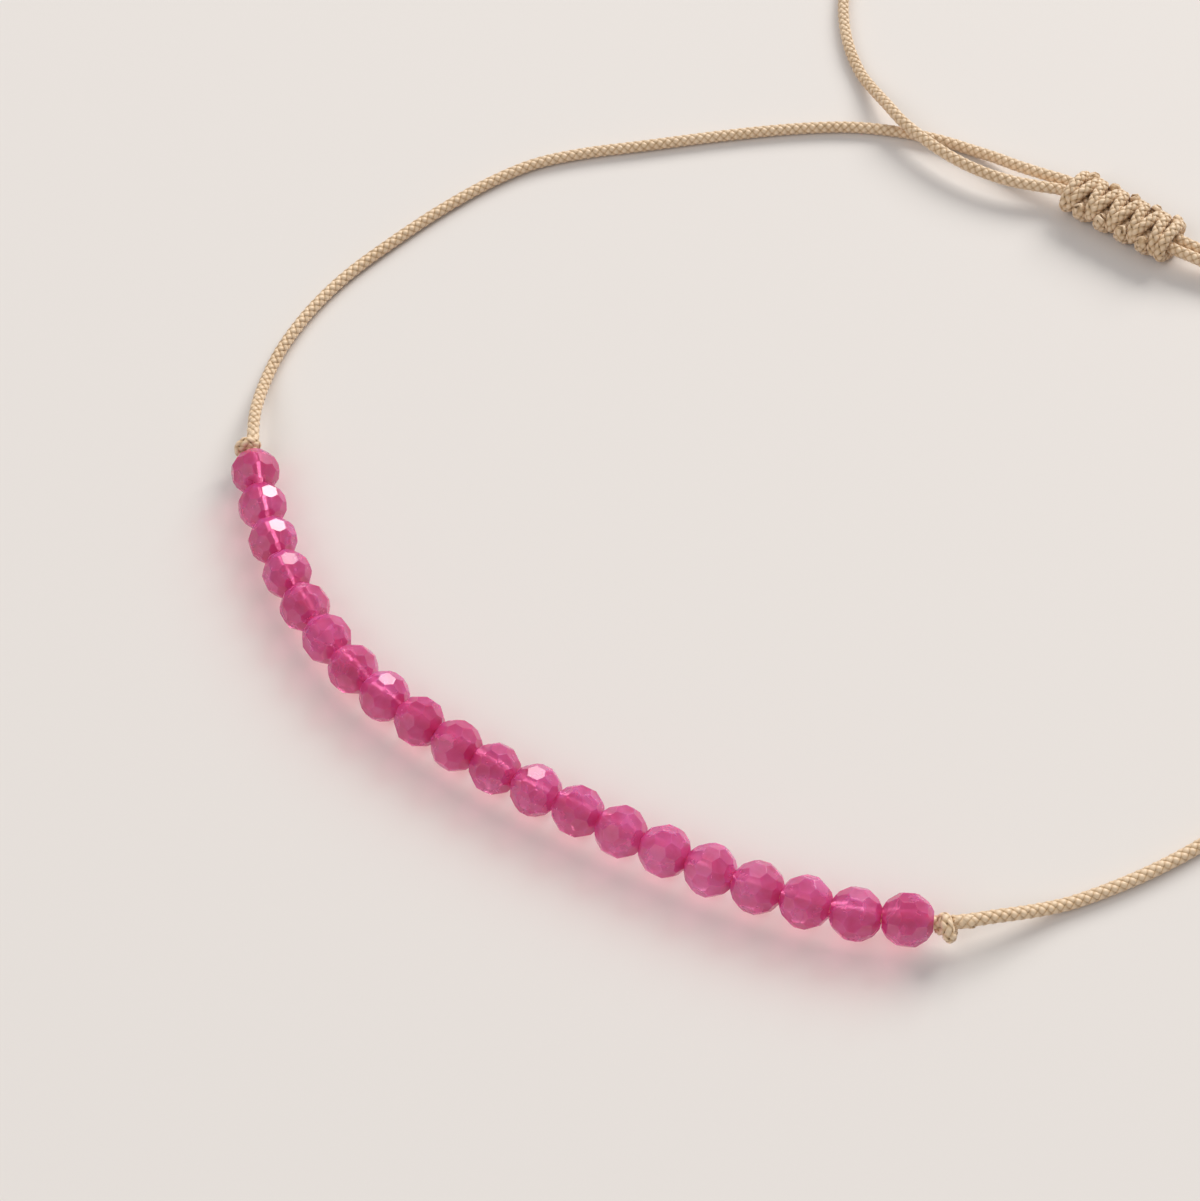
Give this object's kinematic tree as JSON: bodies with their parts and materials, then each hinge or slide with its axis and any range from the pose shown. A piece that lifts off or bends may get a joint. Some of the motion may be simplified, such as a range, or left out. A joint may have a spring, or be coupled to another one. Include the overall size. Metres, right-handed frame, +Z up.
{
  "type": "gemstone bead bracelet",
  "caption": "Open ring of a thin braided cord with a row of round faceted pink gemstone beads, closed by a knotted sliding clasp from which both ends of the cord run free",
  "frame": {"origin": "on the table that the bracelet lies on, in the middle of the ring's box, free ends left out", "axes": "+Z up from the table; +X to the right of someone who looks across the bead row into the ring, along the ring's longer width; +Y away from them"},
  "size_m": [0.0725, 0.075, 0.0026],
  "materials": {
    "gemstone": "polished flat facets, translucent raspberry pink stone",
    "cord": "silky braided nylon, champagne gold"
  },
  "bodies": {
    "root": {"bead_01": "gemstone", "bead_02": "gemstone", "bead_03": "gemstone", "bead_04": "gemstone", "bead_05": "gemstone", "bead_06": "gemstone", "bead_07": "gemstone", "bead_08": "gemstone", "bead_09": "gemstone", "bead_10": "gemstone", "bead_11": "gemstone", "bead_12": "gemstone", "bead_13": "gemstone", "bead_14": "gemstone", "bead_15": "gemstone", "bead_16": "gemstone", "bead_17": "gemstone", "bead_18": "gemstone", "bead_19": "gemstone", "bead_20": "gemstone", "bead_cord": "cord", "cord_left": "cord", "cord_right": "cord", "knot_left": "cord", "knot_right": "cord", "sliding_clasp": "cord", "tail_left": "cord", "tail_right": "cord", "tail_knot_left": "cord", "tail_knot_right": "cord"}
  },
  "joints": []
}
